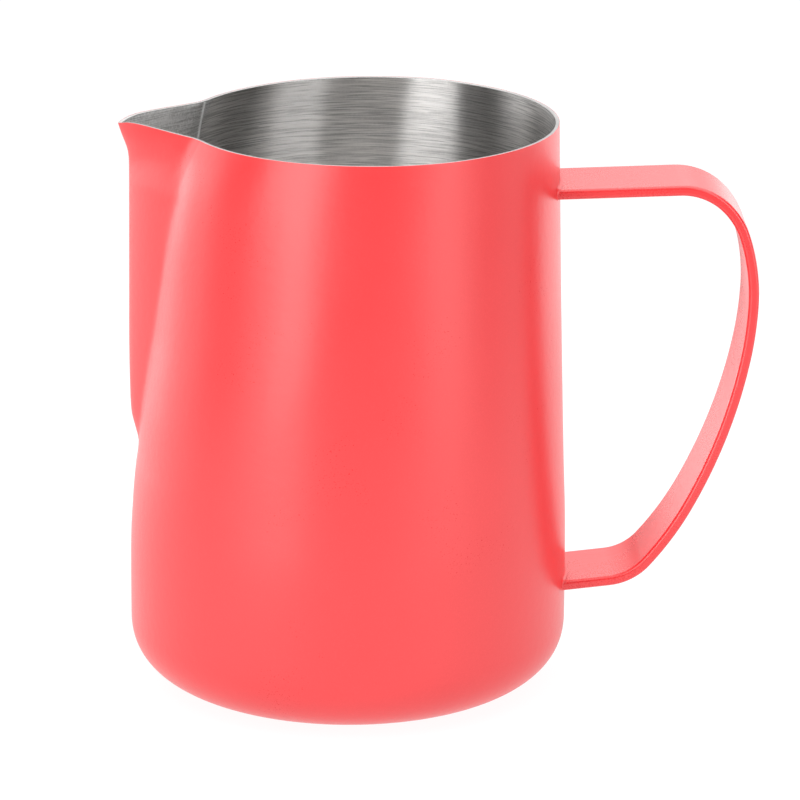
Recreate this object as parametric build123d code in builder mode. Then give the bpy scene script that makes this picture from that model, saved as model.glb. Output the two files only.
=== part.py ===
from build123d import *
import math
import os

os.makedirs("parts", exist_ok=True)

# ---------------------------------------------------------------- dimensions
# Millimetres. Origin at the centre of the foot, +Z up, handle toward +X,
# pouring spout toward -X.
RIM_H = 110.0            # height of the rim at the handle side
WALL = 0.8               # sheet thickness of the jug
FOOT_R = 25.0            # radius where the flat foot ends and the corner starts
CORNER_R = 16.95         # how far the corner spreads outward
CORNER_H = 12.6          # how far the corner rises
CORNER_P = 2.26          # roundness of the corner (2 would be an ellipse)
RECESS_R = 19.0          # shallow recess pressed up under the foot
RECESS_H = 0.7
# outside radius of the round body at each height above the corner
BODY_R = [(12.6, 41.95), (20.0, 41.94), (30.8, 41.83), (44.0, 41.32),
          (66.0, 40.59), (88.0, 39.94), (110.0, 39.38), (116.0, 39.25)]

# Spout. TIP_X is how far the front of the fold stands from the axis, SLOPE is
# how fast its sides run back (mm back per mm sideways) beside the fold, CURVE
# is how much faster with each mm further out, NOSE is the rounding of the
# fold, PINCH is how far the wall beside the spout is drawn inward, NECK and
# BLEND are the angles from the handle where that pinch is full and where it
# starts.
TIP_X = [(44.0, 38.8), (47.0, 40.1), (49.9, 40.95), (53.0, 41.62), (57.0, 41.8),
         (66.0, 41.9), (78.0, 41.78), (90.0, 41.66), (97.0, 41.60), (101.0, 41.58),
         (103.0, 41.66), (104.0, 41.82), (105.0, 42.13), (106.0, 42.52), (107.0, 42.91),
         (108.0, 43.25), (109.0, 43.57), (110.0, 43.95), (116.0, 46.2)]
SLOPE = [(44.0, 0.64), (50.0, 0.62), (60.0, 0.53), (70.0, 0.473), (80.0, 0.432),
         (90.0, 0.413), (98.0, 0.422), (101.5, 0.50), (105.0, 0.669), (108.7, 0.91),
         (110.0, 0.98), (116.0, 1.1)]
CURVE = [(44.0, 0.03), (96.0, 0.03), (101.5, 0.027), (105.0, 0.02), (108.7, 0.01),
         (110.0, 0.006), (116.0, 0.004)]
NOSE = [(44.0, 1.9), (60.0, 1.6), (90.0, 1.3), (104.0, 1.05), (110.0, 0.85), (116.0, 0.85)]
PINCH = [(26.0, 0.0), (30.0, 0.06), (34.0, 0.22), (38.0, 0.34), (42.0, 0.55),
         (46.0, 0.95), (50.0, 1.12), (54.0, 1.28), (61.0, 1.80), (71.0, 2.60),
         (80.0, 3.05), (90.0, 3.50), (99.0, 4.25), (105.0, 5.35), (110.0, 6.75), (116.0, 8.4)]
NECK = [(26.0, 178.0), (46.0, 176.0), (61.0, 171.0), (80.0, 164.0), (99.0, 155.0),
        (110.0, 147.5), (116.0, 143.0)]
BLEND = [(26.0, 140.0), (46.0, 122.0), (80.0, 88.0), (110.0, 60.0), (116.0, 56.0)]
BLEND_SOFT = 0.25        # rounding of the crease between wall and spout

# height of the rim along x: level over the handle half, dipping to the lip
RIM_LINE = [(-60.0, 101.6), (-44.5, 108.72), (-43.5, 109.17), (-42.5, 109.55),
            (-41.5, 109.82), (-40.3, 109.96), (-39.0, 110.0), (-36.0, 109.93),
            (-33.0, 109.82), (-30.0, 109.73), (-26.0, 109.68), (-20.0, 109.70),
            (-14.0, 109.76), (2.0, 109.9), (22.0, 110.0)]

# the welded-in spout: half-width of its blank at the rim, and its lower point
GUSSET_HALF = 17.6
GUSSET_Z = 46.0
SEAM_W = 1.5             # width of the dressed weld around it

# handle: flat bar
BAR_W = 18.0
BAR_T = 2.0
BAR_EDGE = 0.4
# centre line of the bar: level run out from the jug, bends (radius, degrees),
# then a straight run back in to the jug
HANDLE_TOP = (36.0, 97.43)
HANDLE_RISE = 2.14       # degrees the upper run climbs
HANDLE_RUN = 25.85
HANDLE_BENDS = [(12.0, 47.04), (14.5, 26.87), (38.2, 20.98), (73.1, 8.54),
                (103.1, 16.79), (60.2, 12.99), (10.8, 42.18)]
HANDLE_END_X = 38.0
WELD_SIDE = 0.4          # throat of the welds beside and under the bar
WELD_TOP = 1.0           # throat of the upper weld on top of the bar
WELD_REACH = 1.2         # how far the welds run out along the bar


# ---------------------------------------------------------------- helpers
def smooth(table, z):
    """Smooth curve through a table of (z, value)."""
    n = len(table)
    if z <= table[0][0]:
        return table[0][1]
    if z >= table[-1][0]:
        return table[-1][1]
    d = [(table[i + 1][1] - table[i][1]) / (table[i + 1][0] - table[i][0])
         for i in range(n - 1)]
    m = [d[0]] + [0.0] * (n - 2) + [d[-1]]
    for i in range(1, n - 1):
        if d[i - 1] * d[i] > 0:
            h0 = table[i][0] - table[i - 1][0]
            h1 = table[i + 1][0] - table[i][0]
            w1, w2 = 2 * h1 + h0, h1 + 2 * h0
            m[i] = (w1 + w2) / (w1 / d[i - 1] + w2 / d[i])
    i = max(k for k in range(n - 1) if table[k][0] <= z)
    h = table[i + 1][0] - table[i][0]
    t = (z - table[i][0]) / h
    return (table[i][1] * (2 * t**3 - 3 * t**2 + 1) + m[i] * h * (t**3 - 2 * t**2 + t)
            + table[i + 1][1] * (3 * t**2 - 2 * t**3) + m[i + 1] * h * (t**3 - t**2))


def outer_radius(theta, z):
    """Outside radius of the wall, theta degrees from the handle side."""
    r = smooth(BODY_R, z)
    a = smooth(PINCH, z)
    if a > 0:
        lo, hi = smooth(BLEND, z), smooth(NECK, z)
        u = min(max((theta - lo) / (hi - lo), 0.0), 1.0)
        r -= a * (0.35 * (3 * u * u - 2 * u**3) + 0.65 * u**1.35)
    b = 180.0 - theta
    if z >= 44.0 and b < 50.0:
        k, nose, bend = smooth(SLOPE, z), smooth(NOSE, z), smooth(CURVE, z)
        tip = smooth(TIP_X, z)
        c, s = math.cos(math.radians(b)), math.sin(math.radians(b))
        v = tip
        for _ in range(6):
            y = v * s
            w = math.sqrt(y * y + nose * nose)
            gap = v * c - (tip - k * (w - nose) - bend * y * y / 2)
            v -= gap / (c + s * (k * y / w + bend * y))
        v -= 0.03 * max(0.0, b - 34.0) ** 2
        r = max(r, v) + BLEND_SOFT * math.log(1 + math.exp(-abs(r - v) / BLEND_SOFT))
    return r


THETA = ([0, 12, 24, 36, 48, 60, 70, 80, 90, 100, 108, 116, 123, 129, 134, 138, 141.5,
          144.5, 147, 149.5, 152, 154.5, 157, 159.5, 162, 164.5, 166.5, 168.5,
          170.3, 172, 173.4, 174.7, 175.9, 177, 178, 179, 180])
PARAM = [t / 360.0 for t in THETA] + [1 - t / 360.0 for t in THETA[-2::-1]]


def ring(z, inset=0.0, radius=None):
    """Closed section at height z, moved in by inset (or a round one)."""
    full = THETA + [360 - t for t in THETA[-2:0:-1]]

    def at(t):
        t = t % 360.0
        th = t if t <= 180 else 360 - t
        r = radius if radius is not None else outer_radius(th, z)
        return r * math.cos(math.radians(t)), r * math.sin(math.radians(t))

    pts = []
    for t in full:
        x, y = at(t)
        if inset:
            xa, ya = at(t - 0.25)
            xb, yb = at(t + 0.25)
            n = math.hypot(xb - xa, yb - ya)
            x, y = x - inset * (yb - ya) / n, y + inset * (xb - xa) / n
        pts.append((x, y, z))
    return Edge.make_spline([Vector(*p) for p in pts], periodic=True, parameters=PARAM)


def corner(inset):
    """(radius, height) stations of the rounded corner, wall inset inward."""
    out = []
    for j in range(0, 10):
        a = math.radians(10.0 * j)
        out.append((FOOT_R + (CORNER_R - inset) * math.sin(a) ** (2 / CORNER_P),
                    CORNER_H - (CORNER_H - inset) * math.cos(a) ** (2 / CORNER_P)))
    return out


WALL_Z = [15.0 + 2.0 * i for i in range(50)]


def skin(inset):
    """Solid bounded by the wall's outside (inset 0) or inside (inset WALL)."""
    rings = [ring(z, radius=r) for r, z in corner(inset)]
    rings += [ring(z, inset=inset) for z in WALL_Z]
    return Solid.make_loft([Wire([e]) for e in rings])


outside = skin(0.0)
inside = skin(WALL)

# ---------------------------------------------------------------- jug wall
with BuildPart() as jug:
    add(outside)
    add(inside, mode=Mode.SUBTRACT)
    # floor pressed up inside, recess under the foot
    with BuildSketch(Plane.XY.offset(WALL / 2)):
        Circle(RECESS_R + WALL)
    extrude(amount=WALL / 2 + RECESS_H)
    with BuildSketch(Plane.XY):
        Circle(RECESS_R)
    extrude(amount=RECESS_H, mode=Mode.SUBTRACT)
    # trim the rim to its line
    stations = [-44.5 + 0.5 * i for i in range(12)] + [-37.5 + 1.5 * i for i in range(39)]
    rim_points = [(x, smooth(RIM_LINE, x)) for x in stations] + [RIM_LINE[-1]]
    with BuildSketch(Plane.XZ.offset(-60)):
        with BuildLine():
            Line(RIM_LINE[0], RIM_LINE[1])
            Spline(*rim_points, tangents=((1, 0.45), (1, 0)))
            Polyline(rim_points[-1], (60, RIM_H), (60, 125), (-60, 125), RIM_LINE[0])
        make_face()
    extrude(amount=120, mode=Mode.SUBTRACT)


def gusset(extra):
    """Triangular prism that cuts the spout's blank out of the wall."""
    top = RIM_H + 8.0
    run = (GUSSET_HALF / (RIM_H - GUSSET_Z))
    side = extra * math.sqrt(1 + run * run)
    half = run * (top - GUSSET_Z) + side
    low = GUSSET_Z - side / run
    with BuildPart() as prism:
        with BuildSketch(Plane.YZ.offset(-60)):
            with BuildLine():
                Polyline((0, low), (half, top), (-half, top), close=True)
            make_face()
        extrude(amount=45)
    return prism.part


with BuildPart() as spout:
    add(jug.part)
    add(gusset(0.0), mode=Mode.INTERSECT)

with BuildPart() as spout_seam:
    add(jug.part)
    add(gusset(SEAM_W), mode=Mode.INTERSECT)
    add(gusset(0.0), mode=Mode.SUBTRACT)

with BuildPart() as body_shell:
    add(jug.part)
    add(gusset(SEAM_W), mode=Mode.SUBTRACT)


# ---------------------------------------------------------------- handle
def route():
    """Corner points of the handle's centre line: line, arcs, line."""
    x, z = HANDLE_TOP
    heading = math.radians(HANDLE_RISE)
    runs = [((x, z), None, (x + HANDLE_RUN * math.cos(heading), z + HANDLE_RUN * math.sin(heading)))]
    x, z = runs[0][2]
    for radius, turn in HANDLE_BENDS:
        cx, cz = x + radius * math.sin(heading), z - radius * math.cos(heading)
        pts = []
        for part in (0.5, 1.0):
            h = heading - math.radians(turn * part)
            pts.append((cx - radius * math.sin(h), cz + radius * math.cos(h)))
        runs.append(((x, z), pts[0], pts[1]))
        x, z = pts[1]
        heading -= math.radians(turn)
    far = (x - HANDLE_END_X) / -math.cos(heading)
    runs.append(((x, z), None, (HANDLE_END_X, z + far * math.sin(heading))))
    return runs


def at(p):
    return (p[0], 0, p[1])


with BuildPart() as handle_strap:
    runs = route()
    with BuildLine() as path:
        for start, middle, end in runs:
            if middle is None:
                Line(at(start), at(end))
            else:
                ThreePointArc(at(start), at(middle), at(end))
    top_dir = Vector(*at(runs[0][2])) - Vector(*at(runs[0][0]))
    with BuildSketch(Plane(origin=at(runs[0][0]), x_dir=(0, 1, 0), z_dir=top_dir)):
        RectangleRounded(BAR_W, BAR_T, BAR_EDGE)
    sweep(path=path.wire())
    add(outside, mode=Mode.SUBTRACT)


def weld(z, slope, over, reach):
    """Fillet weld round the end of the bar, heavier by over on its top."""
    back = 1.2
    r = smooth(BODY_R, z)
    rise = math.degrees(math.atan(slope))
    plane = Plane(origin=(r - back, 0, z - slope * back), x_dir=(0, 1, 0),
                  z_dir=(math.cos(math.radians(rise)), 0, math.sin(math.radians(rise))))
    k = (reach + back) / reach
    with BuildPart() as bead:
        with BuildSketch(plane):
            with Locations((0, (over - WELD_SIDE) * k / 2)):
                RectangleRounded(BAR_W + 2 * WELD_SIDE * k, BAR_T + (over + WELD_SIDE) * k, 0.6)
        with BuildSketch(plane.offset(reach + back)):
            RectangleRounded(BAR_W + 0.04, BAR_T + 0.04, 0.41)
        loft()
        add(handle_strap.part, mode=Mode.SUBTRACT)
        add(inside, mode=Mode.SUBTRACT)
        add(body_shell.part, mode=Mode.SUBTRACT)
    return bead.part


def slope_of(run):
    return (run[2][1] - run[0][1]) / (run[2][0] - run[0][0])


top_slope, low_slope = slope_of(runs[0]), slope_of(runs[-1])
top_z = HANDLE_TOP[1] + top_slope * (smooth(BODY_R, 98.0) - HANDLE_TOP[0])
low_z = runs[-1][2][1] + low_slope * (smooth(BODY_R, 20.0) - HANDLE_END_X)

with BuildPart() as handle_weld_top:
    add(weld(top_z, top_slope, WELD_TOP, WELD_REACH))

with BuildPart() as handle_weld_low:
    add(weld(low_z, low_slope, WELD_SIDE, WELD_REACH / 2))

# ---------------------------------------------------------------- export
body_shell.part.label = "body_shell"
spout.part.label = "spout"
spout_seam.part.label = "spout_seam"
handle_strap.part.label = "handle_strap"
handle_weld_top.part.label = "handle_weld_top"
handle_weld_low.part.label = "handle_weld_low"
export_step(body_shell.part, "parts/body_shell.step")
export_step(spout.part, "parts/spout.step")
export_step(spout_seam.part, "parts/spout_seam.step")
export_step(handle_strap.part, "parts/handle_strap.step")
export_step(handle_weld_top.part, "parts/handle_weld_top.step")
export_step(handle_weld_low.part, "parts/handle_weld_low.step")
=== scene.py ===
import math

import bmesh
import bpy
import numpy as np
from mathutils import Matrix, Vector
from mathutils.geometry import tessellate_polygon


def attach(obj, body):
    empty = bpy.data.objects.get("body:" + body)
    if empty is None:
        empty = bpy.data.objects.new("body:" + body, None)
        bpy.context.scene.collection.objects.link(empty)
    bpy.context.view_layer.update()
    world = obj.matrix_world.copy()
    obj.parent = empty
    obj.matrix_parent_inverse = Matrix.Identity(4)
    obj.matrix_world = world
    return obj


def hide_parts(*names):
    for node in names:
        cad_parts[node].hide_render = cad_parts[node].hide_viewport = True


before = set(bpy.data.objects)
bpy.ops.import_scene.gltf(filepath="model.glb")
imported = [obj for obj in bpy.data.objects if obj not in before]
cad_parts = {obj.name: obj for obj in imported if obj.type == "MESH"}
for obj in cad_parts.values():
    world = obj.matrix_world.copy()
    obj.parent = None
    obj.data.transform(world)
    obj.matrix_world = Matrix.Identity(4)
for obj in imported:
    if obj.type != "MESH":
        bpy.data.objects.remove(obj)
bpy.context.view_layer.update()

MM = 0.001

# ------------------------------------------------------------------ dimensions
# The same driving numbers as the CAD part, in millimetres.
RIM_H = 110.0
WALL = 0.8
FOOT_R, CORNER_R, CORNER_H, CORNER_P = 25.0, 16.95, 12.6, 2.26
RECESS_R, RECESS_H = 19.0, 0.7
BODY_R = [(12.6, 41.95), (20.0, 41.94), (30.8, 41.83), (44.0, 41.32),
          (66.0, 40.59), (88.0, 39.94), (110.0, 39.38), (116.0, 39.25)]
TIP_X = [(44.0, 38.8), (47.0, 40.1), (49.9, 40.95), (53.0, 41.62), (57.0, 41.8),
         (66.0, 41.9), (78.0, 41.78), (90.0, 41.66), (97.0, 41.60), (101.0, 41.58),
         (103.0, 41.66), (104.0, 41.82), (105.0, 42.13), (106.0, 42.52), (107.0, 42.91),
         (108.0, 43.25), (109.0, 43.57), (110.0, 43.95), (116.0, 46.2)]
SLOPE = [(44.0, 0.64), (50.0, 0.62), (60.0, 0.53), (70.0, 0.473), (80.0, 0.432),
         (90.0, 0.413), (98.0, 0.422), (101.5, 0.50), (105.0, 0.669), (108.7, 0.91),
         (110.0, 0.98), (116.0, 1.1)]
CURVE = [(44.0, 0.03), (96.0, 0.03), (101.5, 0.027), (105.0, 0.02), (108.7, 0.01),
         (110.0, 0.006), (116.0, 0.004)]
NOSE = [(44.0, 1.9), (60.0, 1.6), (90.0, 1.3), (104.0, 1.05), (110.0, 0.85), (116.0, 0.85)]
PINCH = [(26.0, 0.0), (30.0, 0.06), (34.0, 0.22), (38.0, 0.34), (42.0, 0.55),
         (46.0, 0.95), (50.0, 1.12), (54.0, 1.28), (61.0, 1.80), (71.0, 2.60),
         (80.0, 3.05), (90.0, 3.50), (99.0, 4.25), (105.0, 5.35), (110.0, 6.75), (116.0, 8.4)]
NECK = [(26.0, 178.0), (46.0, 176.0), (61.0, 171.0), (80.0, 164.0), (99.0, 155.0),
        (110.0, 147.5), (116.0, 143.0)]
BLEND = [(26.0, 140.0), (46.0, 122.0), (80.0, 88.0), (110.0, 60.0), (116.0, 56.0)]
BLEND_SOFT = [(44.0, 0.16), (82.0, 0.16), (97.0, 0.30), (104.0, 0.24), (110.0, 0.16), (116.0, 0.16)]
RIM_LINE = [(-60.0, 101.6), (-44.5, 108.72), (-43.5, 109.17), (-42.5, 109.55),
            (-41.5, 109.82), (-40.3, 109.96), (-39.0, 110.0), (-36.0, 109.93),
            (-33.0, 109.82), (-30.0, 109.73), (-26.0, 109.68), (-20.0, 109.70),
            (-14.0, 109.76), (2.0, 109.9), (22.0, 110.0), (60.0, 110.0)]
GUSSET_HALF, GUSSET_Z, SEAM_W = 17.6, 46.0, 1.5
BAR_W, BAR_T, BAR_EDGE = 18.0, 2.0, 0.72
HANDLE_TOP = (36.0, 97.43)
HANDLE_RISE, HANDLE_RUN = 2.14, 25.85
HANDLE_BENDS = [(12.0, 47.04), (14.5, 26.87), (38.2, 20.98), (73.1, 8.54),
                (103.1, 16.79), (60.2, 12.99), (10.8, 42.18)]
HANDLE_END_X = 38.0
WELD_SIDE, WELD_TOP, WELD_REACH = 0.4, 1.0, 1.2

COAT_T = 0.06            # the powder coat wraps this far over the lip's outer edge
# the dressed ridge inside, beside the spout: degrees from the spout at each height
RIDGE = [(46.0, 3.0), (60.0, 13.0), (80.0, 23.0), (92.0, 31.0), (98.0, 33.0),
         (102.5, 32.0), (107.8, 30.5), (110.2, 29.6)]


# ------------------------------------------------------------------ shape functions
def smooth(table, z):
    """Monotone cubic through (position, value) pairs, for arrays."""
    t = np.array(table, float)
    x, y = t[:, 0], t[:, 1]
    h = np.diff(x)
    d = np.diff(y) / h
    m = np.r_[d[0], np.zeros(len(x) - 2), d[-1]]
    for i in range(1, len(x) - 1):
        if d[i - 1] * d[i] > 0:
            w1, w2 = 2 * h[i] + h[i - 1], h[i] + 2 * h[i - 1]
            m[i] = (w1 + w2) / (w1 / d[i - 1] + w2 / d[i])
    z = np.clip(np.asarray(z, float), x[0], x[-1])
    i = np.clip(np.searchsorted(x, z, side="right") - 1, 0, len(x) - 2)
    s = (z - x[i]) / h[i]
    return (y[i] * (2 * s**3 - 3 * s**2 + 1) + m[i] * h[i] * (s**3 - 2 * s**2 + s)
            + y[i + 1] * (3 * s**2 - 2 * s**3) + m[i + 1] * h[i] * (s**3 - s**2))


def outer_radius(theta, z):
    """Outside radius of the wall (degrees from the handle side, height in mm)."""
    theta = np.abs((np.asarray(theta, float) + 180.0) % 360.0 - 180.0)
    z = np.broadcast_to(np.asarray(z, float), theta.shape)
    r = smooth(BODY_R, z)
    a = smooth(PINCH, z)
    lo, hi = smooth(BLEND, z), smooth(NECK, z)
    u = np.clip((theta - lo) / (hi - lo), 0.0, 1.0)
    r = r - a * (0.35 * (3 * u * u - 2 * u**3) + 0.65 * u**1.35)
    b = 180.0 - theta
    on = (z >= 44.0) & (b < 50.0)
    k, nose, bend = smooth(SLOPE, z), smooth(NOSE, z), smooth(CURVE, z)
    tip = smooth(TIP_X, z)
    c, s = np.cos(np.radians(b)), np.sin(np.radians(b))
    v = tip
    for _ in range(6):
        y = v * s
        w = np.sqrt(y * y + nose * nose)
        gap = v * c - (tip - k * (w - nose) - bend * y * y / 2)
        slope = c + s * (k * y / w + bend * y)
        v = np.where(on, v - gap / np.where(on, slope, 1.0), v)
    v = v - 0.03 * np.maximum(0.0, b - 34.0) ** 2
    v = np.where(on, v, -1e3)
    soft = smooth(BLEND_SOFT, z)
    g = np.minimum(np.abs(r - v) / soft, 50.0)
    return np.maximum(r, v) + np.where(on, soft * np.log1p(np.exp(-g)), 0.0)


def wall_point(theta, z, inset):
    """Points of the wall moved in by inset along the plan normal. (n, 2)"""
    def at(t):
        r = outer_radius(t, z)
        return np.stack([r * np.cos(np.radians(t)), r * np.sin(np.radians(t))], -1)
    p = at(theta)
    d = at(theta + 0.25) - at(theta - 0.25)
    n = np.stack([d[..., 1], -d[..., 0]], -1) / np.linalg.norm(d, axis=-1, keepdims=True)
    return p - np.asarray(inset)[..., None] * n


# ------------------------------------------------------------------ mesh helpers
def make_object(name, verts, faces, mats=(), face_mats=None, smooth_faces=True):
    me = bpy.data.meshes.new(name)
    me.from_pydata([tuple(v) for v in verts], [], [tuple(f) for f in faces])
    me.update()
    for m in mats:
        me.materials.append(m)
    if face_mats is not None:
        me.polygons.foreach_set("material_index", np.asarray(face_mats, np.int32))
    me.polygons.foreach_set("use_smooth", np.full(len(me.polygons), smooth_faces))
    ob = bpy.data.objects.new(name, me)
    bpy.context.scene.collection.objects.link(ob)
    return ob


# ------------------------------------------------------------------ materials
def new_material(name):
    m = bpy.data.materials.new(name)
    m.use_nodes = True
    nt = m.node_tree
    nt.nodes.clear()
    out = nt.nodes.new("ShaderNodeOutputMaterial")
    bsdf = nt.nodes.new("ShaderNodeBsdfPrincipled")
    nt.links.new(bsdf.outputs["BSDF"], out.inputs["Surface"])
    return m, nt, bsdf


def node(nt, kind, **props):
    n = nt.nodes.new(kind)
    for k, v in props.items():
        setattr(n, k, v)
    return n


def math_node(nt, op, a, b=None, clamp=False):
    n = node(nt, "ShaderNodeMath", operation=op, use_clamp=clamp)
    for i, v in enumerate((a, b)):
        if v is None:
            continue
        if hasattr(v, "is_output"):
            nt.links.new(v, n.inputs[i])
        else:
            n.inputs[i].default_value = v
    return n.outputs[0]


def map_range(nt, v, a, b, c, d, kind="SMOOTHSTEP"):
    n = node(nt, "ShaderNodeMapRange", interpolation_type=kind)
    nt.links.new(v, n.inputs["Value"])
    for key, x in (("From Min", a), ("From Max", b), ("To Min", c), ("To Max", d)):
        n.inputs[key].default_value = x
    return n.outputs["Result"]


def noise(nt, vec, scale, detail=2.0, rough=0.5, lac=2.0):
    n = node(nt, "ShaderNodeTexNoise")
    nt.links.new(vec, n.inputs["Vector"])
    n.inputs["Scale"].default_value = scale
    n.inputs["Detail"].default_value = detail
    n.inputs["Roughness"].default_value = rough
    n.inputs["Lacunarity"].default_value = lac
    return n.outputs["Fac"]


def mix_colour(nt, fac, a, b, blend="MIX"):
    n = node(nt, "ShaderNodeMix", data_type="RGBA", blend_type=blend)
    for sock, v in ((n.inputs[0], fac), (n.inputs[6], a), (n.inputs[7], b)):
        if hasattr(v, "is_output"):
            nt.links.new(v, sock)
        elif isinstance(v, (int, float)):
            sock.default_value = v
        else:
            sock.default_value = (*v, 1.0) if len(v) == 3 else v
    return n.outputs[2]


def bump(nt, height, strength, distance, normal=None):
    n = node(nt, "ShaderNodeBump")
    n.inputs["Strength"].default_value = strength
    n.inputs["Distance"].default_value = distance
    nt.links.new(height, n.inputs["Height"])
    if normal is not None:
        nt.links.new(normal, n.inputs["Normal"])
    return n.outputs["Normal"]


def coat_material(name="powder_coat", gloss=0.0, grit=1.0):
    """Satin coral powder coat: slight orange peel, fine grain, soft mottling."""
    m, nt, p = new_material(name)
    tc = node(nt, "ShaderNodeTexCoord").outputs["Object"]
    peel = noise(nt, tc, 620.0, 2.0, 0.45)        # about 1.6 mm waves
    grain = noise(nt, tc, 3400.0, 2.0, 0.6)       # about 0.3 mm grain
    cloud = noise(nt, tc, 46.0, 3.0, 0.5)         # slow mottling of the film
    deep, base, light = (0.72, 0.029, 0.032), (0.79, 0.038, 0.042), (0.84, 0.052, 0.057)
    c = mix_colour(nt, map_range(nt, cloud, 0.32, 0.68, 0.0, 1.0), deep, base)
    c = mix_colour(nt, 0.78, c, base)
    c = mix_colour(nt, map_range(nt, grain, 0.50, 0.80, 0.0, 0.55 * grit), c, light)
    c = mix_colour(nt, map_range(nt, grain, 0.20, 0.46, 0.45 * grit, 0.0), c, deep)
    nt.links.new(c, p.inputs["Base Color"])
    r = math_node(nt, "ADD", map_range(nt, cloud, 0.3, 0.7, 0.295 + gloss, 0.335 + gloss, "LINEAR"),
                  map_range(nt, grain, 0.3, 0.7, -0.03 * grit, 0.05 * grit, "LINEAR"))
    nt.links.new(r, p.inputs["Roughness"])
    p.inputs["Specular IOR Level"].default_value = 0.75
    p.inputs["IOR"].default_value = 1.5
    n1 = bump(nt, peel, 0.10, 0.00035)
    n2 = bump(nt, grain, 0.16 * grit, 0.00006, n1)
    nt.links.new(n2, p.inputs["Normal"])
    return m


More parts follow.
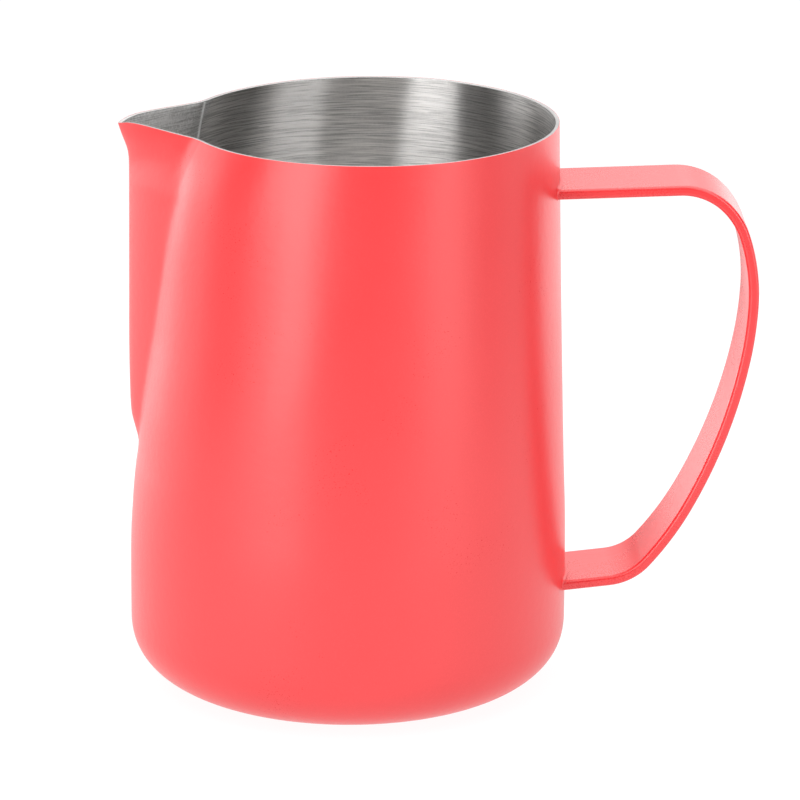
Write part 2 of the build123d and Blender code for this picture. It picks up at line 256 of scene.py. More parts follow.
def steel_material(name, kind="brushed", tint=(0.72, 0.705, 0.69), metal=1.0):
    """Bare stainless. brushed: hairlines run round the jug and in rings on its
    floor. blended: the same, but dulled and mottled where the spout was
    dressed. edge: the fine ground edge of the lip."""
    m, nt, p = new_material(name)
    tc = node(nt, "ShaderNodeTexCoord").outputs["Object"]
    sep = node(nt, "ShaderNodeSeparateXYZ")
    nt.links.new(tc, sep.inputs[0])
    x, y, z = sep.outputs
    rr = math_node(nt, "SQRT", math_node(nt, "ADD", math_node(nt, "MULTIPLY", x, x),
                                         math_node(nt, "MULTIPLY", y, y)))
    low = map_range(nt, z, 0.004, 0.016, 1.0, 0.0)
    along = math_node(nt, "ADD", z, math_node(nt, "MULTIPLY", rr, low))

    def hair(around, across, detail, rough, seed, slant=0.0):
        """Noise drawn out round the jug; slant tips the lines by mm per mm."""
        v = node(nt, "ShaderNodeCombineXYZ")
        nt.links.new(math_node(nt, "MULTIPLY", x, around), v.inputs[0])
        nt.links.new(math_node(nt, "MULTIPLY", y, around), v.inputs[1])
        h_ = math_node(nt, "ADD", along, math_node(nt, "MULTIPLY", x, slant))
        nt.links.new(math_node(nt, "ADD", math_node(nt, "MULTIPLY", h_, across), seed), v.inputs[2])
        return noise(nt, v.outputs[0], 1.0, detail, rough)

    def scratch(value, at, full, depth=1.0):
        """Thin crisp dashes where the noise passes a level."""
        return map_range(nt, value, at, full, 0.0, depth, "LINEAR")

    fine = hair(95.0, 6500.0, 2.0, 0.6, 3.1, 0.012)      # hairlines 0.15 mm apart
    lines_a = hair(125.0, 4700.0, 0.0, 0.5, 17.7, 0.034)  # scratches 4 to 12 mm long, slanted a little
    lines_b = hair(145.0, 5300.0, 0.0, 0.5, 71.9, -0.020)
    lines_c = hair(72.0, 3600.0, 0.0, 0.5, 29.3, 0.014)
    long = hair(16.0, 300.0, 2.0, 0.5, 41.3)
    spot = noise(nt, tc, 2400.0, 3.0, 0.65)
    wide = noise(nt, tc, 60.0, 2.0, 0.5)
    blot = noise(nt, tc, 330.0, 3.0, 0.6)
    bright = math_node(nt, "MAXIMUM", scratch(lines_a, 0.56, 0.68), scratch(lines_c, 0.60, 0.70, 0.9))
    gouge = math_node(nt, "MAXIMUM", scratch(lines_b, 0.56, 0.68), scratch(lines_c, 0.40, 0.30, 0.7))
    dark = tuple(v * 0.80 for v in tint)
    lite = tuple(min(v * 1.22, 0.92) for v in tint)
    if kind == "blended":
        dark = tuple(v * 0.58 for v in tint)
        lite = tuple(min(v * 1.28, 0.98) for v in tint)
    if kind == "brushed":
        h = math_node(nt, "ADD", math_node(nt, "MULTIPLY", fine, 0.55), 0.225)
        h = math_node(nt, "ADD", h, math_node(nt, "MULTIPLY", bright, 0.16))
        h = math_node(nt, "SUBTRACT", h, math_node(nt, "MULTIPLY", gouge, 0.20))
        rough, strength, depth = (0.29, 0.40), 0.75, 0.00003
    elif kind == "blended":
        h = math_node(nt, "ADD", math_node(nt, "MULTIPLY", spot, 0.45),
                      math_node(nt, "MULTIPLY", blot, 0.55))
        h = math_node(nt, "SUBTRACT", h, math_node(nt, "MULTIPLY", gouge, 0.08))
        rough, strength, depth = (0.38, 0.56), 0.95, 0.00010
    else:
        h = math_node(nt, "ADD", math_node(nt, "MULTIPLY", spot, 0.6),
                      math_node(nt, "MULTIPLY", fine, 0.4))
        rough, strength, depth = (0.34, 0.48), 0.5, 0.00003
    c = mix_colour(nt, map_range(nt, h, 0.34, 0.66, 0.0, 1.0, "LINEAR"), dark, lite)
    c = mix_colour(nt, map_range(nt, long, 0.3, 0.7, 0.0, 0.16, "LINEAR"), c, tint)
    c = mix_colour(nt, map_range(nt, wide, 0.35, 0.7, 0.0, 0.14), c, tuple(v * 0.86 for v in tint))
    if kind != "edge":
        m1, m2 = (0.55, 0.48) if kind == "brushed" else (0.42, 0.42)
        speck = map_range(nt, spot, 0.38, 0.72, 0.0, 0.34 if kind == "brushed" else 0.5)
        c = mix_colour(nt, speck, c, tuple(min(v * 1.30, 0.98) for v in tint))
        c = mix_colour(nt, math_node(nt, "MULTIPLY", bright, m1), c, tuple(min(v * 1.36, 0.98) for v in tint))
        c = mix_colour(nt, math_node(nt, "MULTIPLY", gouge, m2), c, tuple(v * 0.42 for v in tint))
    nt.links.new(c, p.inputs["Base Color"])
    p.inputs["Metallic"].default_value = metal
    nt.links.new(map_range(nt, h, 0.3, 0.7, rough[1], rough[0], "LINEAR"), p.inputs["Roughness"])
    if kind == "brushed":
        p.inputs["Anisotropic"].default_value = 1.0
        p.inputs["Anisotropic Rotation"].default_value = 0.25
        tan = node(nt, "ShaderNodeTangent", direction_type="RADIAL", axis="Z")
        nt.links.new(tan.outputs[0], p.inputs["Tangent"])
    nt.links.new(bump(nt, h, strength, depth), p.inputs["Normal"])
    return m


COAT = coat_material()
STEEL = steel_material("brushed_steel_inside")
GROUND = steel_material("blended_steel_spout", "blended", (0.84, 0.83, 0.82))
SEAM = steel_material("dressed_weld", "blended", (0.82, 0.81, 0.80))
# steel of the dressed ridge beside the spout: lighter and only partly metallic, a painted highlight that keeps the
# ridge bright whatever it reflects
PAINTED_HIGHLIGHT_STEEL = steel_material("ground_ridge_painted_highlight", "edge", (0.80, 0.79, 0.78), 0.35)
LIP = steel_material("bare_steel_lip", "edge", (0.40, 0.39, 0.385))
BAR_COAT = coat_material("powder_coat_bar", -0.04, 0.2)

# ------------------------------------------------------------------ jug wall mesh
b = np.r_[np.arange(0, 8, 0.32), np.arange(8, 28, 0.5), np.arange(28, 35, 0.22), np.arange(35, 40, 0.5),
          np.arange(40, 90, 1.25), np.arange(90, 180.01, 2.0)]
half = 180.0 - b[::-1]
half[0] = 0.0
THETA = np.r_[half, 360.0 - half[-2:0:-1]]
NT = len(THETA)
RIM_Z = np.full(NT, 109.7)
for _ in range(12):
    rim_x = outer_radius(THETA, RIM_Z) * np.cos(np.radians(THETA))
    RIM_Z = 0.5 * RIM_Z + 0.5 * smooth(RIM_LINE, rim_x)

rows = []          # each row: (points (NT, 3), zone) zone of the band that ends at this row
COATED, BARE_LIP, INSIDE, DRESSED, PAINTED_HIGHLIGHT = 0, 1, 2, 3, 4


def add_round(r, z, zone):
    rows.append((np.stack([r * np.cos(np.radians(THETA)), r * np.sin(np.radians(THETA)),
                           np.full(NT, z)], -1), zone))


def add_wall(z, inset, zone):
    z = np.broadcast_to(np.asarray(z, float), THETA.shape)
    p = wall_point(THETA, z, np.full(NT, inset))
    rows.append((np.concatenate([p, z[:, None]], 1), zone))


def arc(c_r, c_z, rad, a0, a1, n):
    return [(c_r + rad * math.cos(math.radians(a)), c_z + rad * math.sin(math.radians(a)))
            for a in np.linspace(a0, a1, n)]


# under the foot: recess, its soft step, the ring it stands on
for r in (0.6, 2.0, 4.0, 7.0, 10.0, 13.0, 16.0, 17.6):
    add_round(r, RECESS_H, COATED)
for r, z in arc(RECESS_R - 0.55, RECESS_H - 0.3, 0.3, 90, 20, 5):
    add_round(r, z, COATED)
for r, z in arc(RECESS_R + 0.32, 0.3, 0.3, 200, 270, 5):
    add_round(r, z, COATED)
for r in (20.5, 22.5, 24.0):
    add_round(r, 0.0, COATED)
for a in np.linspace(0.0, 90.0, 34):
    s, c = math.sin(math.radians(a)), math.cos(math.radians(a))
    add_round(FOOT_R + CORNER_R * s ** (2 / CORNER_P), CORNER_H - CORNER_H * c ** (2 / CORNER_P), COATED)
WALL_Z = list(np.r_[np.arange(14.5, 26, 2.0), np.arange(26, 42, 1.6), np.arange(42.5, 60, 0.9),
                    np.arange(60, 98.5, 1.75)])
for z in WALL_Z:
    add_wall(z, 0.0, COATED)
TOP = np.array([0.08, 0.16, 0.24, 0.32, 0.40, 0.48, 0.56, 0.64, 0.72, 0.79, 0.85, 0.90, 0.94])
Z0 = WALL_Z[-1]
for t in TOP:
    add_wall(Z0 + (RIM_Z - Z0) * t, 0.0, COATED)
# the coat rolls over the outer edge and ends in a low step
add_wall(RIM_Z - 0.34, 0.0, COATED)
for a in np.linspace(180.0, 115.0, 5):
    add_wall(RIM_Z - 0.08 + 0.08 * math.sin(math.radians(a)), 0.08 + 0.08 * math.cos(math.radians(a)), COATED)
add_wall(RIM_Z - 0.006, COAT_T, COATED)
add_wall(RIM_Z - 0.026, COAT_T + 0.008, COATED)
# bare flat top, eased into the inside
for d, dz in ((0.13, 0.024), (0.28, 0.020), (0.42, 0.022), (0.54, 0.034)):
    add_wall(RIM_Z - dz, d, BARE_LIP)
for a in np.linspace(75.0, 0.0, 6):
    add_wall(RIM_Z - 0.20 + 0.166 * math.sin(math.radians(a)), WALL - 0.18 + 0.18 * math.cos(math.radians(a)), BARE_LIP)
add_wall(RIM_Z - 0.42, WALL, INSIDE)
# down the inside
for t in TOP[::-1]:
    add_wall(Z0 + (RIM_Z - Z0) * t, WALL, INSIDE)
for z in WALL_Z[::-1]:
    add_wall(z, WALL, INSIDE)
for a in np.linspace(90.0, 0.0, 30):
    s, c = math.sin(math.radians(a)), math.cos(math.radians(a))
    add_round(FOOT_R + (CORNER_R - WALL) * s ** (2 / CORNER_P),
              CORNER_H - (CORNER_H - WALL) * c ** (2 / CORNER_P), INSIDE)
for r in (24.0, 22.5, 21.2):
    add_round(r, WALL, INSIDE)
for r, z in arc(RECESS_R + 1.35, WALL + 0.35, 0.35, 270, 210, 5):
    add_round(r, z, INSIDE)
for r, z in arc(RECESS_R + 0.35, WALL + RECESS_H - 0.3, 0.3, 30, 90, 5):
    add_round(r, z, INSIDE)
for r in (17.0, 14.0, 11.0, 8.0, 5.0, 2.5, 0.8):
    add_round(r, WALL + RECESS_H, INSIDE)

P = np.concatenate([p for p, _ in rows])
NR = len(rows)

# dressed weld: a low ridge along the seam, only on the inside
run = GUSSET_HALF / (RIM_H - GUSSET_Z)
norm = math.sqrt(1 + run * run)
zones = np.array([z for _, z in rows])
inner = np.repeat(zones == INSIDE, NT)
off = (np.abs(P[:, 1]) - run * (P[:, 2] - GUSSET_Z)) / norm - SEAM_W / 2
near = inner & (P[:, 0] < -15) & (P[:, 2] > 30) & (np.abs(off) < SEAM_W / 2)
fade = np.clip((P[:, 2] - 84.0) / 10.0, 0.0, 1.0)
lift = np.where(near, 0.10 * (1 - fade) * np.cos(np.clip(off / (SEAM_W / 2), -1, 1) * math.pi / 2) ** 2, 0.0)
# near the rim it is ground flush, and the dressing left a ridge beside it
reach = np.linalg.norm(P[:, :2], axis=1)
turn = np.degrees(np.arctan2(np.abs(P[:, 1]), -P[:, 0])) - smooth(RIDGE, P[:, 2])
side_mm = np.radians(turn) * reach
beside = inner & (P[:, 0] < -15) & (P[:, 2] > 84) & (np.abs(side_mm) < 0.62)
lift += np.where(beside, 0.24 * fade * np.cos(np.clip(side_mm / 0.62, -1, 1) * math.pi / 2) ** 2, 0.0)
radial = P[:, :2] / np.maximum(np.linalg.norm(P[:, :2], axis=1, keepdims=True), 1e-9)
P[:, :2] -= radial * lift[:, None]

# the inside is dressed dull from one ridge to the other, across the spout
grid = P.reshape(NR, NT, 3)
mid = (grid[:-1] + np.roll(grid, -1, 1)[:-1] + grid[1:] + np.roll(grid, -1, 1)[1:]) / 4
mid_turn = np.degrees(np.arctan2(np.abs(mid[..., 1]), -mid[..., 0])) - smooth(RIDGE, mid[..., 2])
DRESSED_AT = (mid[..., 0] < -15) & (mid[..., 2] > 48) & (mid_turn < 0)
# faces along the dressed ridge near the rim get the lighter steel, a painted highlight on the real ridge
PAINTED_HIGHLIGHT_AT = (mid[..., 0] < -15) & (mid[..., 2] > 88) & (np.abs(mid_turn + 0.25) < 0.62)

bm = bmesh.new()
vs = [bm.verts.new(tuple(p * MM)) for p in P]
zone_layer = bm.faces.layers.int.new("zone")
for i in range(NR - 1):
    zone = rows[i + 1][1]
    for j in range(NT):
        k = (j + 1) % NT
        f = bm.faces.new((vs[i * NT + j], vs[i * NT + k], vs[(i + 1) * NT + k], vs[(i + 1) * NT + j]))
        if zone == INSIDE:
            zone_here = PAINTED_HIGHLIGHT if PAINTED_HIGHLIGHT_AT[i, j] else (DRESSED if DRESSED_AT[i, j] else INSIDE)
        else:
            zone_here = zone
        f[zone_layer] = zone_here
for row, z, zone, flip in ((0, RECESS_H, COATED, True), (NR - 1, WALL + RECESS_H, INSIDE, False)):
    c = bm.verts.new((0, 0, z * MM))
    for j in range(NT):
        k = (j + 1) % NT
        a, d = vs[row * NT + j], vs[row * NT + k]
        f = bm.faces.new((c, d, a) if flip else (c, a, d))
        f[zone_layer] = zone
bm.normal_update()

# cut along both edges of the weld seam, each side of the spout
planes = []
for side in (1, -1):
    for extra in (0.0, SEAM_W):
        co = Vector((0.0, side * extra * norm * MM, GUSSET_Z * MM))
        no = Vector((0.0, side, -run)).normalized()
        geom = [f for f in bm.faces if f.calc_center_median().x < -0.015
                and f.calc_center_median().y * side > 0 and f.calc_center_median().z > 0.030]
        es = {e for f in geom for e in f.edges}
        vv = {v for f in geom for v in f.verts}
        bmesh.ops.bisect_plane(bm, geom=list(vv) + list(es) + geom, dist=1e-7, plane_co=co, plane_no=no)
        planes.append((co, no, side, extra))
bm.normal_update()
bm.verts.ensure_lookup_table()
bm.verts.index_update()
V = np.array([v.co[:] for v in bm.verts])
VN = np.array([v.normal[:] for v in bm.verts])
# a face points out of the metal: outward outside, inward inside
centre = bm.verts[0].normal
flip_all = VN[np.argmax(V[:, 0])][0] < 0
if flip_all:
    VN = -VN


def part_of(f):
    c = f.calc_center_median() / MM
    if c.x > -15 or c.z < 30:
        return "body"
    s = (abs(c.y) - run * (c.z - GUSSET_Z)) / norm
    return "spout" if s < 0 else ("seam" if s < SEAM_W else "body")


faces = {"body": [], "spout": [], "seam": []}
for f in bm.faces:
    idx = [v.index for v in f.verts]
    if flip_all:
        idx.reverse()
    faces[part_of(f)].append((idx, f[zone_layer]))
bm.free()


def close_cuts(part, data):
    """Flat faces across the wall's thickness where this part was cut out."""
    count = {}
    for idx, _ in data:
        for a, d in zip(idx, idx[1:] + idx[:1]):
            count[(a, d)] = 1
    border = {a: d for (a, d) in count if (d, a) not in count}
    caps = []
    for co, no, side, extra in planes:
        if (part == "spout" and extra) or (part == "body" and not extra):
            continue
        on = {}
        for a, d in border.items():
            if all(abs((Vector(V[i]) - co).dot(no)) < 2e-7 and V[i][1] * side > -2e-7 for i in (a, d)):
                on[a] = d
        if not on:
            continue
        starts = [a for a in on if a not in set(on.values())]
        if len(starts) != 1:
            continue
        loop = [starts[0]]
        while loop[-1] in on:
            loop.append(on[loop[-1]])
        out = no if (part == "spout" or (part == "seam" and extra)) else -no
        for tri in tessellate_polygon([[Vector(V[i] * 1000.0) for i in loop]]):
            t = [loop[i] for i in tri]
            n = (Vector(V[t[1]]) - Vector(V[t[0]])).cross(Vector(V[t[2]]) - Vector(V[t[0]]))
            if n.dot(out) < 0:
                t.reverse()
            caps.append((t, out))
    return caps


def build_part(name, part, mats, zone_to_mat):
    data = faces[part]
    caps = close_cuts(part, data)
    used = sorted({i for idx, _ in data for i in idx} | {i for t, _ in caps for i in t})
    new = {v: i for i, v in enumerate(used)}
    fs = [[new[i] for i in idx] for idx, _ in data] + [[new[i] for i in t] for t, _ in caps]
    fm = [zone_to_mat[z] for _, z in data] + [zone_to_mat[INSIDE]] * len(caps)
    ob = make_object(name, V[used], fs, mats, fm)
    normals = []
    for idx, _ in data:
        normals += [tuple(VN[i]) for i in idx]
    for t, out in caps:
        normals += [tuple(out)] * 3
    ob.data.normals_split_custom_set(normals)
    return ob


body = build_part("jug_body", "body", (COAT, STEEL, LIP, GROUND, PAINTED_HIGHLIGHT_STEEL),
                  {COATED: 0, BARE_LIP: 2, INSIDE: 1, DRESSED: 3, PAINTED_HIGHLIGHT: 4})
spout = build_part("pouring_spout", "spout", (COAT, GROUND, LIP, PAINTED_HIGHLIGHT_STEEL),
                   {COATED: 0, BARE_LIP: 2, INSIDE: 1, DRESSED: 1, PAINTED_HIGHLIGHT: 3})
seam = build_part("spout_weld_seam", "seam", (COAT, SEAM, LIP, PAINTED_HIGHLIGHT_STEEL),
                  {COATED: 0, BARE_LIP: 2, INSIDE: 1, DRESSED: 1, PAINTED_HIGHLIGHT: 3})
for ob, n in ((body, "body_shell"), (spout, "spout"), (seam, "spout_seam")):
    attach(ob, "root")
    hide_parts(n)


# ------------------------------------------------------------------ handle
def route(step=0.6):
    """Points and headings along the bar's centre line, in mm."""
    x, z = HANDLE_TOP
    h = math.radians(HANDLE_RISE)
    pts = []
    n = int(HANDLE_RUN / 1.2)
    for i in range(n):
        s = HANDLE_RUN * i / n
        pts.append((x + s * math.cos(h), z + s * math.sin(h), h))
    x, z = x + HANDLE_RUN * math.cos(h), z + HANDLE_RUN * math.sin(h)
    for radius, turn in HANDLE_BENDS:
        cx, cz = x + radius * math.sin(h), z - radius * math.cos(h)
        t = math.radians(turn)
        n = max(6, int(radius * t / step))
        for i in range(n):
            g = h - t * i / n
            pts.append((cx - radius * math.sin(g), cz + radius * math.cos(g), g))
        h -= t
        x, z = cx - radius * math.sin(h), cz + radius * math.cos(h)
    far = (x - HANDLE_END_X) / -math.cos(h)
    n = int(far / 1.0)
    for i in range(n + 1):
        s = far * i / n
        pts.append((x + s * math.cos(h), z + s * math.sin(h), h))
    return pts


def bar_section():
    """Rounded rectangle of the bar: (across, up) pairs and their outward directions."""
    w, t, e = BAR_W / 2, BAR_T / 2, BAR_EDGE
    out = []
    for cx, cy, a0 in ((w - e, t - e, 0), (-(w - e), t - e, 90), (-(w - e), -(t - e), 180), (w - e, -(t - e), 270)):
        for a in np.linspace(a0, a0 + 90, 7):
            out.append((cx + e * math.cos(math.radians(a)), cy + e * math.sin(math.radians(a)),
                        math.cos(math.radians(a)), math.sin(math.radians(a))))
        # points along the flat that follows this corner
        nx, ny = {0: (-1, 0), 90: (0, -1), 180: (1, 0), 270: (0, 1)}[a0]
        length = 2 * (w - e) if a0 in (0, 180) else 2 * (t - e)
        k = 10 if a0 in (0, 180) else 3
        ex, ey = out[-1][0], out[-1][1]
        for i in range(1, k):
            out.append((ex + nx * length * i / k, ey + ny * length * i / k,
                        0.0 if a0 in (0, 180) else math.copysign(1, ex),
                        math.copysign(1, ey) if a0 in (0, 180) else 0.0))
    return out


SEC = bar_section()
NS = len(SEC)


def surface_x(y, z):
    """Where the jug's outside stands at this height, this far across."""
    return np.sqrt(smooth(BODY_R, z) ** 2 - np.asarray(y, float) ** 2)


HEADINGS = []          # heading of the bar at each of its rings


def build_handle():
    pts = route()
    verts, faces_ = [], []
    kept = []
    heads = []
    for x, z, h in pts:
        ring = []
        for a, up, _, _ in SEC:
            ring.append((x - up * math.sin(h), a, z + up * math.cos(h)))
        kept.append(ring)
        heads.append(h)
    # bury each end 0.35 mm inside the wall
    heads = [h for r, h in zip(kept, heads) if min(p[0] for p in r) > 42.6]
    kept = [r for r in kept if min(p[0] for p in r) > 42.6]
    first, last = [], []
    for end, store in ((0, first), (-1, last)):
        h = pts[end][2]
        d = (math.cos(h), math.sin(h))
        for p in kept[end]:
            x, y, z = p
            for _ in range(12):
                sx = float(surface_x(y, z)) - 0.35
                s = (sx - x) / d[0]
                x, z = x + s * d[0], z + s * d[1]
            store.append((x, y, z))
    def between(a, c, n):
        return [[tuple(np.array(p) * (1 - t) + np.array(q) * t) for p, q in zip(a, c)]
                for t in np.linspace(0, 1, n + 1)[:-1]]
    rings = between(first, kept[0], 4) + kept + between(last, kept[-1], 4)[::-1]
    HEADINGS[:] = [pts[0][2]] * 4 + heads + [pts[-1][2]] * 4
    for r in rings:
        verts += [tuple(np.array(p) * MM) for p in r]
    for i in range(len(rings) - 1):
        for j in range(NS):
            k = (j + 1) % NS
            faces_.append((i * NS + j, (i + 1) * NS + j, (i + 1) * NS + k, i * NS + k))
    # end faces in strips across the bar, so that they follow the jug's curve
    # and stay inside its wall
    for base, back in ((0, False), ((len(rings) - 1) * NS, True)):
        for i in range(22):
            loop = [i, i + 1, 46 - i, 47 - i]
            if i == 0:
                loop = [0, 1, 46, 47, 48, 49]
            elif i == 21:
                loop = [21, 22, 23, 24, 25, 26]
            loop = [base + k for k in loop]
            faces_.append(tuple(loop[::-1] if back else loop))
    ob = make_object("handle_bar", verts, faces_, (BAR_COAT,))
    return ob


handle = build_handle()


def fix_normals(ob):
    b_ = bmesh.new()
    b_.from_mesh(ob.data)
    bmesh.ops.recalc_face_normals(b_, faces=b_.faces[:])
    b_.to_mesh(ob.data)
    b_.free()
    ob.data.update()


fix_normals(handle)


def bar_normals(ob):
    """Exact shading normals of the swept bar, so its flats stay flat and its
    edges round."""
    out = []
    sides = (len(HEADINGS) - 1) * NS
    for poly in ob.data.polygons:
        for vi in poly.vertices:
            i, j = divmod(vi, NS)
            if poly.index >= sides:
                out.append(tuple(poly.normal))
                continue
            h = HEADINGS[min(i, len(HEADINGS) - 1)]
            na, nu = SEC[j][2], SEC[j][3]
            out.append((-nu * math.sin(h), na, nu * math.cos(h)))
    ob.data.normals_split_custom_set(out)


bar_normals(handle)


def build_weld(name, z0, rise, over, reach, seed):
    """A run of fillet weld round the bar's root, concave, with faint ripples."""
    rng = np.random.RandomState(seed)
    d = np.array([math.cos(rise), 0, math.sin(rise)])
    upv = np.array([-math.sin(rise), 0, math.cos(rise)])
    origin = np.array([float(smooth(BODY_R, z0)), 0, z0])
    # arc length round the section, to lay ripples evenly
    pts2 = np.array([(a, u) for a, u, _, _ in SEC])
    seg = np.linalg.norm(np.roll(pts2, -1, 0) - pts2, axis=1)
    fine = []
    for i in range(NS):
        n = max(1, int(round(seg[i] / 0.22)))
        a = np.array(SEC[i]); c = np.array(SEC[(i + 1) % NS])
        for k in range(n):
            v = a * (1 - k / n) + c * (k / n)
            v[2:] /= max(np.hypot(v[2], v[3]), 1e-6)
            fine.append(v)
    fine = np.array(fine)
    m = len(fine)
    s = np.r_[0, np.cumsum(np.linalg.norm(np.diff(fine[:, :2], axis=0), axis=1))]
    total = s[-1] + 0.2
    ripple = np.zeros(m)
    for f in (2, 3, 5, 9, 14):
        ripple += rng.uniform(-1, 1) * np.cos(2 * math.pi * f * s / total + rng.uniform(0, 6.28)) / f ** 0.4
    ripple /= np.abs(ripple).max()
    fish = np.cos(2 * math.pi * s / 0.75)
    rows_ = []
    for t in np.linspace(0, 1, 9):
        row = []
        for i in range(m):
            a, u, na, nu = fine[i]
            top = max(0.0, nu)
            leg = WELD_SIDE + (over - WELD_SIDE) * top
            leg *= 1 + 0.12 * ripple[i]
            far = (reach if over > WELD_SIDE else reach) * (0.55 + 0.45 * top) * (1 + 0.10 * ripple[i])
            # from the bar (far out, no offset) to the jug (at its wall, full offset)
            out = far * (1 - t) ** 1.9
            away = leg * t ** 1.9
            hump = 0.018 * fish[i] * math.sin(math.pi * t)
            q = origin + upv * (u + nu * (away + hump)) + np.array([0, 1, 0]) * (a + na * (away + hump))
            y, z = q[1], q[2]
            x = float(surface_x(y, z))
            q = np.array([x, y, z]) + d * (out + hump - (0.04 if t == 1 else 0.0))
            if t == 0:
                q = q - upv * nu * 0.03 - np.array([0, 1, 0]) * na * 0.03
            row.append(q)
        rows_.append(row)
    # closing row, buried in the bar and the wall
    back = []
    for i in range(m):
        a, u, na, nu = fine[i]
        q = origin + upv * (u - nu * 0.12) + np.array([0, 1, 0]) * (a - na * 0.12)
        x = float(surface_x(q[1], q[2])) - 0.15
        back.append(np.array([x, q[1], q[2]]))
    rows_.append(back)
    verts = [tuple(q * MM) for r in rows_ for q in r]
    faces_ = []
    n = len(rows_)
    for i in range(n):
        i2 = (i + 1) % n
        for j in range(m):
            k = (j + 1) % m
            faces_.append((i * m + j, i * m + k, i2 * m + k, i2 * m + j))
    ob = make_object(name, verts, faces_, (COAT,))
    fix_normals(ob)
    return ob


top_z = HANDLE_TOP[1] + math.tan(math.radians(HANDLE_RISE)) * (float(smooth(BODY_R, 98.0)) - HANDLE_TOP[0])
end = route()[-1]
low_rise = math.atan(math.tan(end[2]))
low_z = end[1] + math.tan(end[2]) * (float(smooth(BODY_R, 20.0)) - HANDLE_END_X)
weld_top = build_weld("handle_weld_upper", top_z, math.radians(HANDLE_RISE), WELD_TOP * 0.62, WELD_REACH * 0.62, 3)
weld_low = build_weld("handle_weld_lower", low_z, low_rise, WELD_SIDE, WELD_REACH / 2, 8)
for ob, n in ((handle, "handle_strap"), (weld_top, "handle_weld_top"), (weld_low, "handle_weld_low")):
    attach(ob, "root")
    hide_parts(n)

# ------------------------------------------------------------------ camera
pitch, yaw, roll = math.radians(16.582), math.radians(1.035), math.radians(0.448)
F = Vector((math.sin(yaw) * math.cos(pitch), math.cos(yaw) * math.cos(pitch), -math.sin(pitch)))
R = Vector((math.cos(yaw), -math.sin(yaw), 0.0))
U = R.cross(F)
R2 = R * math.cos(roll) + U * math.sin(roll)
U2 = -R * math.sin(roll) + U * math.cos(roll)
cam_data = bpy.data.cameras.new("camera")
cam = bpy.data.objects.new("camera", cam_data)
bpy.context.scene.collection.objects.link(cam)
rot = Matrix((R2, U2, -F)).transposed().to_4x4()
cam.matrix_world = Matrix.Translation(Vector((-4.729, -804.341, 294.448)) * MM) @ rot
cam_data.sensor_width = 36.0
cam_data.lens = 4383.72 * 36.0 / 800.0
cam_data.clip_start, cam_data.clip_end = 0.05, 30.0
bpy.context.scene.camera = cam

# ------------------------------------------------------------------ stage
me = bpy.data.meshes.new("floor")
fb = bmesh.new()
bmesh.ops.create_circle(fb, cap_ends=True, segments=96, radius=0.30)
fb.to_mesh(me)
fb.free()
floor = bpy.data.objects.new("floor", me)
floor.location.z = -0.00005
bpy.context.scene.collection.objects.link(floor)
fm, ft, fp = new_material("pale_floor")
fp.inputs["Base Color"].default_value = (0.12, 0.12, 0.12, 1)
fp.inputs["Roughness"].default_value = 0.9
fp.inputs["Specular IOR Level"].default_value = 0.1
fp.inputs["Emission Color"].default_value = (1, 1, 1, 1)
fp.inputs["Emission Strength"].default_value = 0.93
me.materials.append(fm)

# soft studio surroundings: a dim pale room with soft panels round the jug
world = bpy.data.worlds.new("studio")
bpy.context.scene.world = world
world.use_nodes = True
wt = world.node_tree
wt.nodes.clear()
wo = wt.nodes.new("ShaderNodeOutputWorld")
tcw = wt.nodes.new("ShaderNodeTexCoord").outputs["Generated"]
sw = wt.nodes.new("ShaderNodeSeparateXYZ")
wt.links.new(tcw, sw.inputs[0])
DEG = math.pi / 180
az = math_node(wt, "ARCTAN2", sw.outputs[0], math_node(wt, "MULTIPLY", sw.outputs[1], -1.0))
el = math_node(wt, "ARCSINE", sw.outputs[2])


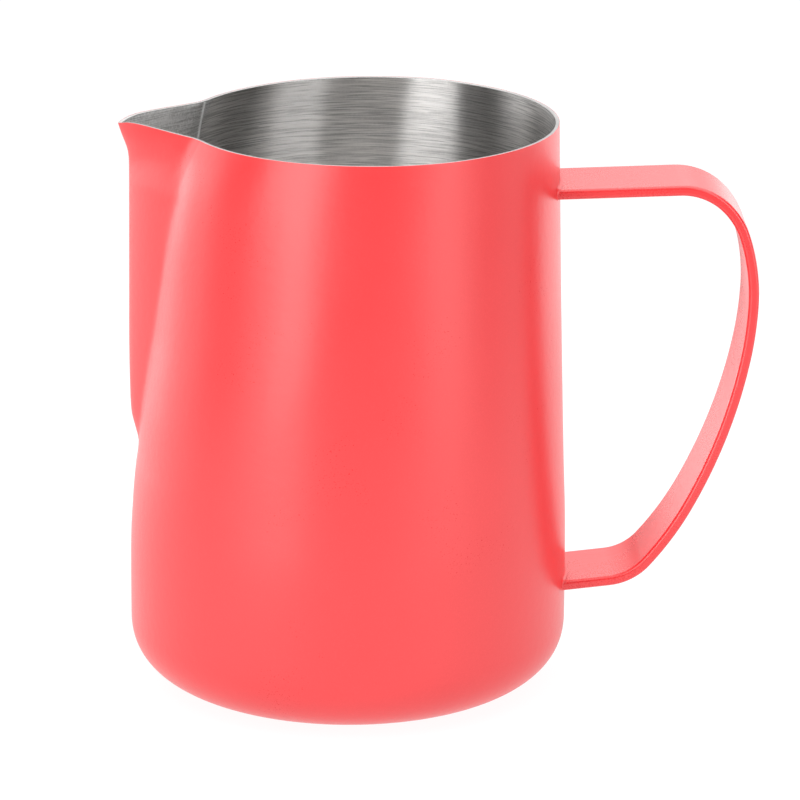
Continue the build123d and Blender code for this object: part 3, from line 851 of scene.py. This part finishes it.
def panel(az0, az1, soft, *levels):
    """A soft-edged panel between two azimuths, with its level at five heights:
    below the table top, just below it, at it, above it and high up.
    Azimuth 0 is the front, + is the handle's side."""
    c, half_w = (az0 + az1) / 2, (az1 - az0) / 2
    d = math_node(wt, "WRAP", math_node(wt, "SUBTRACT", az, c * DEG), math.pi)
    d.node.inputs[2].default_value = -math.pi
    d = math_node(wt, "ABSOLUTE", d)
    a = map_range(wt, d, (half_w - soft / 2) * DEG, (half_w + soft / 2) * DEG, 1.0, 0.0)
    v = None
    for (e0, e1), l0, l1 in zip(STEPS, (0.0,) + levels[:-1], levels):
        if v is None:
            v = l1
        elif abs(l1 - l0) > 1e-6:
            s = map_range(wt, el, e0 * DEG, e1 * DEG, 0.0, l1 - l0)
            v = math_node(wt, "ADD", s, v)
    v = math_node(wt, "MULTIPLY", map_range(wt, el, 45 * DEG, 55 * DEG, 1.0, 0.0), v)
    return math_node(wt, "MULTIPLY", a, v)


STEPS = [None, (-12.0, -6.0), (-3.0, 3.0), (7.0, 13.0), (21.0, 29.0)]
STEPS[0] = (-90.0, -89.0)
PANELS = [
    # from, to, soft edge, level at the five heights
    (-64.0, -28.0, 4.0, 0.0, 1.47, 2.94, 4.13, 3.48),       # large box, front left
    (-47.0, -22.0, 8.0, 2.08, 2.77, 0.75, 0.0, 0.0),
    (28.0, 60.0, 4.0, 0.0, 0.26, 2.49, 2.96, 2.58),         # box, front right
    (41.0, 67.0, 18.0, 1.80, 1.46, 1.42, 0.0, 0.0),
    (-156.0, -123.0, 8.0, 0.67, 3.78, 1.52, 0.2, 0.88),     # white card, back left
    (-122.0, -97.0, 14.0, 0.67, 0.99, 2.41, 0.82, 0.84),
    (127.0, 172.0, 22.0, 1.21, 1.34, 1.13, 1.25, 1.20),     # white card, back right
    (-190.0, -147.0, 12.0, 0.0, 0.09, 0.3, 1.06, 2.35),
    (87.0, 135.0, 13.0, 0.46, 0.81, 0.0, 0.0, 0.31),
    (-181.0, 181.0, 1.0, 0.30, 0.70, 0.02, 0.02, 0.02),     # the table beyond the floor
]
total = map_range(wt, el, 45 * DEG, 55 * DEG, 0.0, 2.39)
for spec in PANELS:
    total = math_node(wt, "ADD", total, panel(*spec))
lp = wt.nodes.new("ShaderNodeLightPath")
level = math_node(wt, "ADD", math_node(wt, "MULTIPLY", lp.outputs["Is Camera Ray"], 1.05),
                  math_node(wt, "MULTIPLY", total, math_node(wt, "SUBTRACT", 1.0, lp.outputs["Is Camera Ray"])))
bg = wt.nodes.new("ShaderNodeBackground")
bg.inputs["Color"].default_value = (1, 1, 1, 1)
wt.links.new(level, bg.inputs["Strength"])
wt.links.new(bg.outputs[0], wo.inputs["Surface"])

bpy.context.scene.view_settings.view_transform = "Standard"
